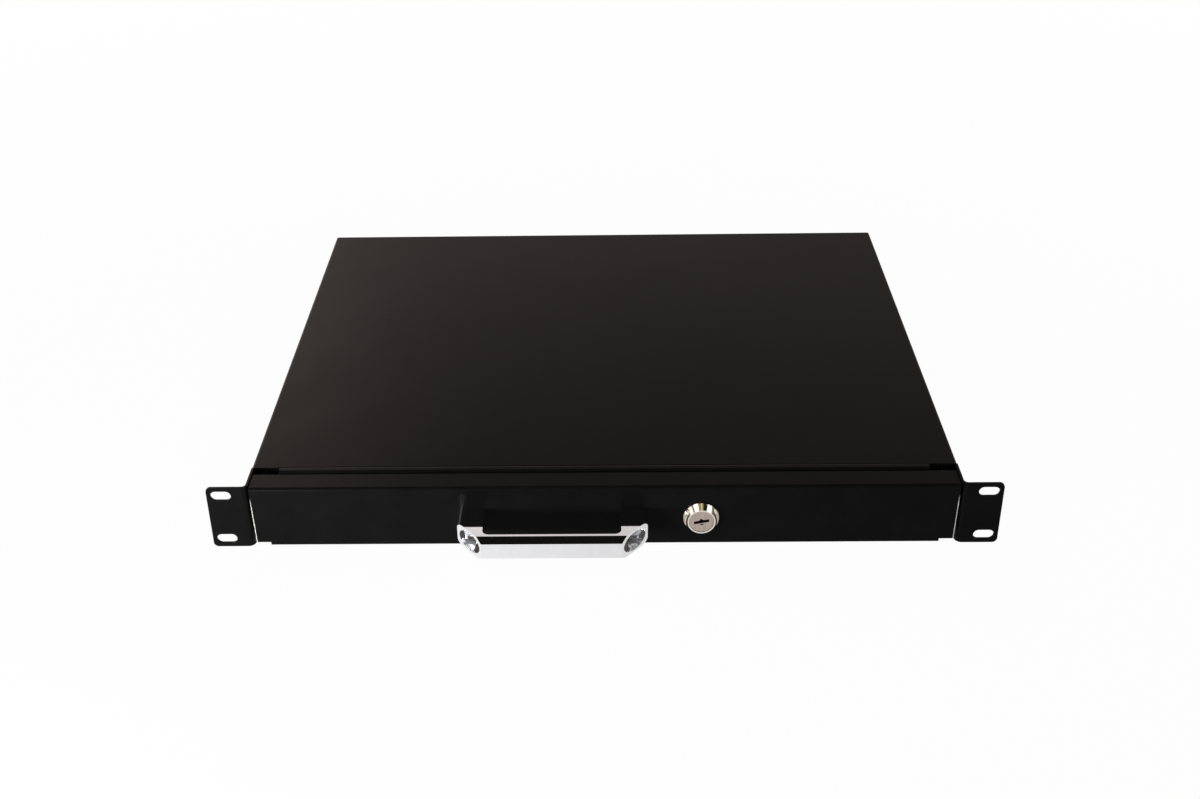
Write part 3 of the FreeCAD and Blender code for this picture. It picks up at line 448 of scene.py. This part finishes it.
def thread_rows(shank, length):
    """Rows of a threaded shank from its tip up to just inside the head."""
    steps = max(int(length / THREAD_PITCH * THREAD_RINGS), THREAD_RINGS)
    rows = []
    for step in range(steps + 1):
        depth = length * (1 - step / steps)
        row = []
        for i in range(THREAD_SIDES):
            ridge = abs(2 * ((depth / THREAD_PITCH + i / THREAD_SIDES) % 1) - 1)
            radius = shank * (1 - THREAD_DEPTH * ridge * smooth(depth, *THREAD_START))
            if step == 0:
                radius *= THREAD_TIP
            angle = 2 * math.pi * i / THREAD_SIDES
            row.append((radius * math.cos(angle), radius * math.sin(angle), -depth))
        rows.append(row)
    rows[-1] = [(x, y, SUNK_IN_HEAD) for x, y, _ in rows[-1]]
    return rows


def screw_sizes(points, along):
    """Axis point, levels of head, seat and tip, and radii of head and shank of a CAD screw."""
    low, high = ([pick(p[i] for p in points) for i in range(3)] for pick in (min, max))
    axis = (Vector(low) + Vector(high)) / 2
    levels = sorted({round(p[along], 6) for p in points})

    def reach(level):
        flat = [p - axis for p in points if abs(p[along] - level) < 1e-6]
        return max(math.hypot(*(v[i] for i in range(3) if i != along)) for v in flat)

    if reach(levels[-1]) > reach(levels[0]):
        levels.reverse()
    return axis, levels, reach(levels[0]), reach(levels[-1])


def dress_screws(node, along, finish="zinc", domed=True):
    """Replace plain CAD screws, which lie along one axis, by ones with a recess and threads."""
    mesh = bmesh.new()
    for points in islands(node):
        axis, (top, *_, seat, tip), radius, shank = screw_sizes(points, along)
        middle = axis.copy()
        middle[along] = seat
        away = Vector([math.copysign(1, top - seat) if i == along else 0 for i in range(3)])
        turn = Matrix.Translation(middle) @ away.to_track_quat("Z", "Y").to_matrix().to_4x4()
        seat_radius = radius if domed else shank
        lathe_rows(mesh, head_rows(seat_radius, radius, abs(top - seat), domed), turn)
        lathe_rows(mesh, thread_rows(shank, abs(seat - tip)), turn)
    data = bpy.data.meshes.new(f"{node}_dressed")
    mesh.to_mesh(data)
    mesh.free()
    data.materials.append(materials[finish])
    piece = bpy.data.objects.new(f"{node}_dressed", data)
    scene.collection.objects.link(piece)
    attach(piece, body_of_node[node])
    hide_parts(node)


ACROSS, DEEP = 0, 1
dress_screws("handle_screws", DEEP, "screw_nickel")
dress_screws("rear_screws", ACROSS)
dress_screws("cam_screw", DEEP)
for side in ("left", "right"):
    dress_screws(f"{side}_tray_screws", ACROSS)
    dress_screws(f"{side}_case_screws", ACROSS, domed=False)


# ---- floor, lights and camera ---------------------------------------------------------------

WHITE = (1, 1, 1, 1)
FLOOR_SIZE, FLOOR_GAP, FLOOR_COLOR = 30, 0.2 * MM, (0.93, 0.93, 0.93, 1)


def ray_kinds(n):
    """Sockets that are 1 for camera rays, and 1 for glossy or transmission rays."""
    rays = n.add("ShaderNodeLightPath")
    return (rays.outputs["Is Camera Ray"],
            n.math("MAXIMUM", rays.outputs["Is Glossy Ray"], rays.outputs["Is Transmission Ray"]))


def make_floor():
    """A pale floor that keeps a soft shadow and is white to the camera away from it.

    Reflections show it white too, and dimmer towards the right.
    """
    place = (0, 0, cad_box[0][2] - FLOOR_GAP)
    bpy.ops.mesh.primitive_plane_add(size=FLOOR_SIZE, location=place)
    floor = bpy.context.object
    floor.name = "floor"
    n = new_material("white_floor")
    diffuse = n.add("ShaderNodeBsdfDiffuse", {"Color": FLOOR_COLOR})
    camera, gloss = ray_kinds(n)
    x, y, z = n.axes()
    dimming = n.product(gloss, n.span(x, -0.10, 0.25, 0.05, 0.50))
    glow = n.add("ShaderNodeEmission", {"Color": WHITE,
                                        "Strength": n.math("SUBTRACT", 1.0, dimming)})
    seen = n.product(camera, n.span(n.distance(x, y), 0.5, 1.5, 0.97, 1.0))
    mix = n.add("ShaderNodeMixShader", {0: n.total(seen, gloss), 1: diffuse.outputs[0],
                                        2: glow.outputs[0]})
    output = n.add("ShaderNodeOutputMaterial")
    n.tree.links.new(mix.outputs[0], output.inputs["Surface"])
    floor.data.materials.append(n.owner)


# Strengths in the studio that reflections show. ROOM is the even light on the object.
ROOM, CEILING = 0.4, 0.006
LOW_FRONT, SIDE_FRONT = 0.12, 0.9
SKYLIGHT, STRIP, BRIGHT_STRIP = 4.0, 0.28, 0.7


def studio_strength(n, x, z, behind):
    """Bright backdrop, dim front and dark ceiling, with a skylight at the left and two strips.

    x and z are parts of the direction: z goes from 0 at the horizon to 1 overhead.
    """
    outward = n.math("ABSOLUTE", x)
    before = n.math("SUBTRACT", 1.0, behind)

    # The backdrop, brighter at its low left corner, towards the left and at both sides.
    corner = n.product(n.span(x, -0.08, -0.17, 0.0, 0.42), n.span(z, 0.47, 0.43))
    leftward = n.span(x, -0.35, 0.25, 1.25, 0.84)
    sideways = n.span(outward, 0.42, 0.56, 1.0, 1.4)
    backdrop = n.product(n.span(z, 0.57, 0.66, 1.0, CEILING), leftward, sideways,
                         n.total(corner, 1.0))

    # The front, dim in the middle and bright at both sides.
    sides = n.product(n.span(z, 0.50, 0.80, SIDE_FRONT, CEILING), n.span(outward, 0.55, 0.80))
    front = n.math("MAXIMUM", n.span(z, 0.56, 0.68, LOW_FRONT, CEILING), sides)

    # The ceiling: a wide dim strip, a narrow bright one, and the skylight.
    wide = n.product(n.band(x, -0.04, 0.24, 0.05), n.span(z, 0.86, 0.92, 0.0, STRIP))
    narrow = n.product(n.band(x, 0.05, 0.02, 0.03), n.span(z, 0.86, 0.92, 0.0, BRIGHT_STRIP))
    skylight = n.product(n.span(x, -0.26, -0.34, 0.0, SKYLIGHT), n.span(z, 0.72, 0.82), before)
    return n.total(n.product(backdrop, behind), n.product(front, before),
                   n.total(wide, narrow), skylight)


def studio_tint(n, x, z, behind):
    """Pink low on the backdrop and paler above it, warm in front, olive overhead."""
    tint = n.blend(n.span(z, 0.43, 0.48), (1.0, 0.85, 0.80), (1.0, 0.95, 0.90))
    tint = n.blend(n.span(z, 0.52, 0.57), tint, (1.0, 0.95, 0.93))
    tint = n.blend(behind, (1.0, 0.93, 0.82), tint)
    overhead = n.product(n.span(z, 0.80, 0.86), n.span(x, -0.36, -0.28))
    return n.blend(overhead, tint, (1.0, 0.92, 0.50))


def make_world():
    """White to the camera, an even room to diffuse rays, and a studio to glossy ones."""
    world = bpy.data.worlds.new("studio")
    scene.world = world
    n = Nodes(world)
    x, y, z = n.axes(n.add("ShaderNodeTexCoord").outputs["Generated"])
    behind = n.span(y, -0.10, 0.10)
    room = n.add("ShaderNodeBackground", {"Color": WHITE, "Strength": ROOM})
    studio = n.add("ShaderNodeBackground", {"Color": studio_tint(n, x, z, behind),
                                            "Strength": studio_strength(n, x, z, behind)})
    white = n.add("ShaderNodeBackground", {"Color": WHITE, "Strength": 1.0})
    camera, gloss = ray_kinds(n)
    first = n.add("ShaderNodeMixShader", {0: gloss, 1: room.outputs[0], 2: studio.outputs[0]})
    last = n.add("ShaderNodeMixShader", {0: camera, 1: first.outputs[0], 2: white.outputs[0]})
    output = n.add("ShaderNodeOutputWorld")
    n.tree.links.new(last.outputs[0], output.inputs["Surface"])


def make_lamp(name, spot, target, size, watts, color=(1, 1, 1)):
    data = bpy.data.lights.new(name, "AREA")
    data.shape = "RECTANGLE"
    data.size, data.size_y = size
    data.energy = watts
    data.color = color
    lamp = bpy.data.objects.new(name, data)
    scene.collection.objects.link(lamp)
    lamp.location = spot
    lamp.rotation_euler = (Vector(target) - Vector(spot)).to_track_quat("-Z", "Y").to_euler()


CAMERA_SPOT = Vector((2.3, -724.3, 527.1)) * MM
CAMERA_YAW, CAMERA_PITCH, CAMERA_ROLL = (math.radians(a) for a in (1.237, 28.829, -1.069))
CAMERA_SENSOR, CAMERA_LENS, CAMERA_SHIFT = 36, 43.64, (0.0183, -0.0579)


def make_camera():
    """The camera at the photograph's viewing angle."""
    turn = (Matrix.Rotation(CAMERA_YAW, 4, "Z")
            @ Matrix.Rotation(math.pi / 2 - CAMERA_PITCH, 4, "X")
            @ Matrix.Rotation(CAMERA_ROLL, 4, "Z"))
    data = bpy.data.cameras.new("camera")
    data.sensor_width = CAMERA_SENSOR
    data.lens = CAMERA_LENS
    data.shift_x, data.shift_y = CAMERA_SHIFT
    camera = bpy.data.objects.new("camera", data)
    camera.matrix_world = Matrix.Translation(CAMERA_SPOT) @ turn
    scene.collection.objects.link(camera)
    scene.camera = camera


make_floor()
make_world()
make_lamp("rear_left_softbox", (-0.95, 1.75, 0.95), (0, 0.2, 0), (0.8, 0.5), 3.5,
          (1.0, 0.80, 0.72))
make_lamp("front_left_panel", (-0.45, -0.45, 0.03), (-0.03, 0.0, 0), (0.28, 0.09), 5)
make_lamp("right_softbox", (0.95, -0.12, 0.78), (0, 0.05, 0), (0.45, 0.60), 1)
make_camera()
scene.view_settings.view_transform = "Standard"
